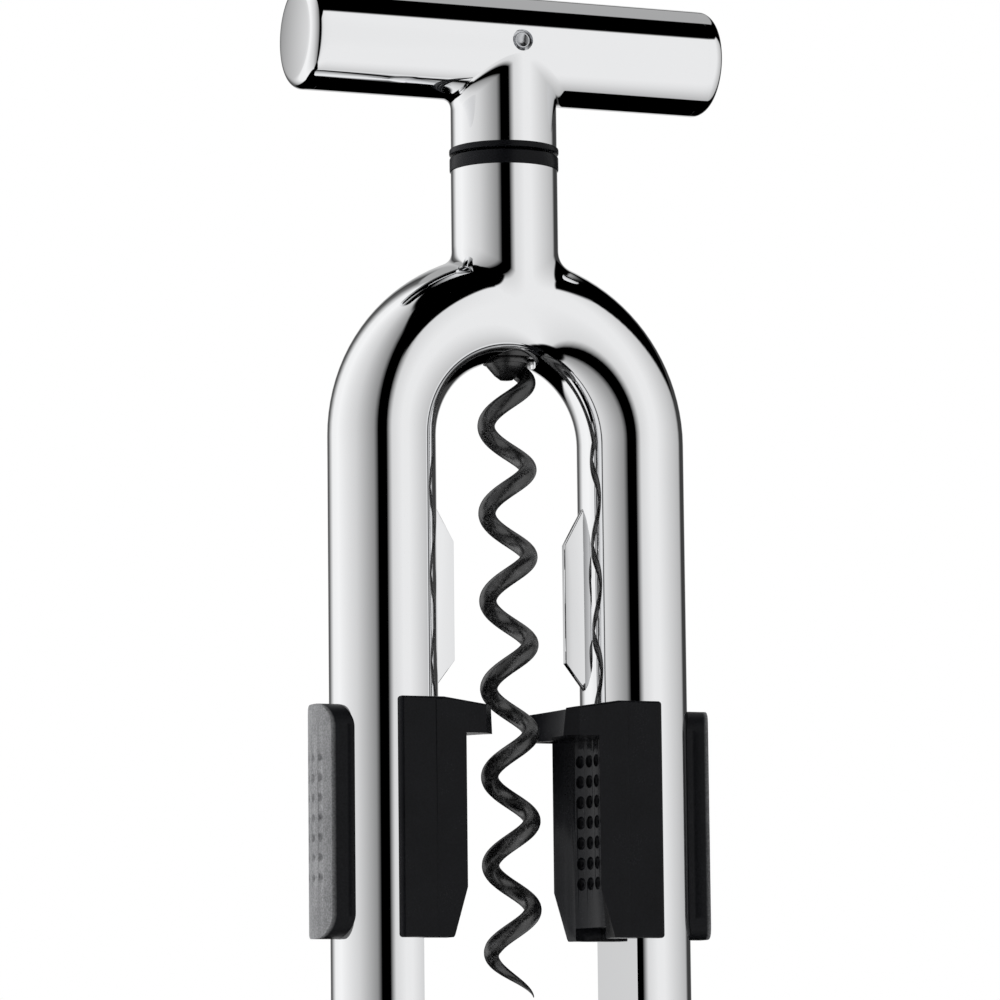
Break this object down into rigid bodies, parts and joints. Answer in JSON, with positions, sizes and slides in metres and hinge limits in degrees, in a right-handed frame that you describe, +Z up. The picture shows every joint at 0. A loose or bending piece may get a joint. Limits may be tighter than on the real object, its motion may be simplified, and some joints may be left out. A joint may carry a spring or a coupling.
{
  "type": "continuous-pull corkscrew",
  "caption": "Chromed T-handle corkscrew: a bar frame straddles the bottle neck, black jaws hold the bottle's mouth, and the turning worm draws the cork up between the legs.",
  "frame": {"origin": "midway between the two feet, on the surface that they stand on", "axes": "+Z up along the worm's axis, +X from the left leg to the right leg, +Y away from the viewer"},
  "size_m": [0.0714, 0.0192, 0.191],
  "materials": {
    "chrome": "polished chrome plate",
    "black_plastic": "satin moulded",
    "grip_plastic": "fine grain",
    "steel": "turned",
    "coated_steel": "non-stick coating"
  },
  "bodies": {
    "frame": {"frame_bar": "chrome", "neck_tube": "chrome", "cork_fin_left": "chrome", "cork_fin_right": "chrome", "upper_bush": "black_plastic", "lower_bush": "black_plastic", "jaw_left": "black_plastic", "jaw_right": "black_plastic", "grip_pad_left": "grip_plastic", "grip_pad_right": "grip_plastic", "foot_plug_left": "black_plastic", "foot_plug_right": "black_plastic"},
    "handle": {"handle_bar": "chrome", "handle_stem": "chrome", "end_cap_left": "chrome", "end_cap_right": "chrome", "cross_pin": "steel", "thrust_washer": "black_plastic", "spindle": "coated_steel", "retaining_ring": "coated_steel", "worm": "coated_steel"}
  },
  "joints": [
    {"name": "handle_spin", "type": "hinge", "parent": "frame", "child": "handle", "pos_m": [0, 0, 0.15], "axis": [0, 0, 1], "continuous": true}
  ]
}
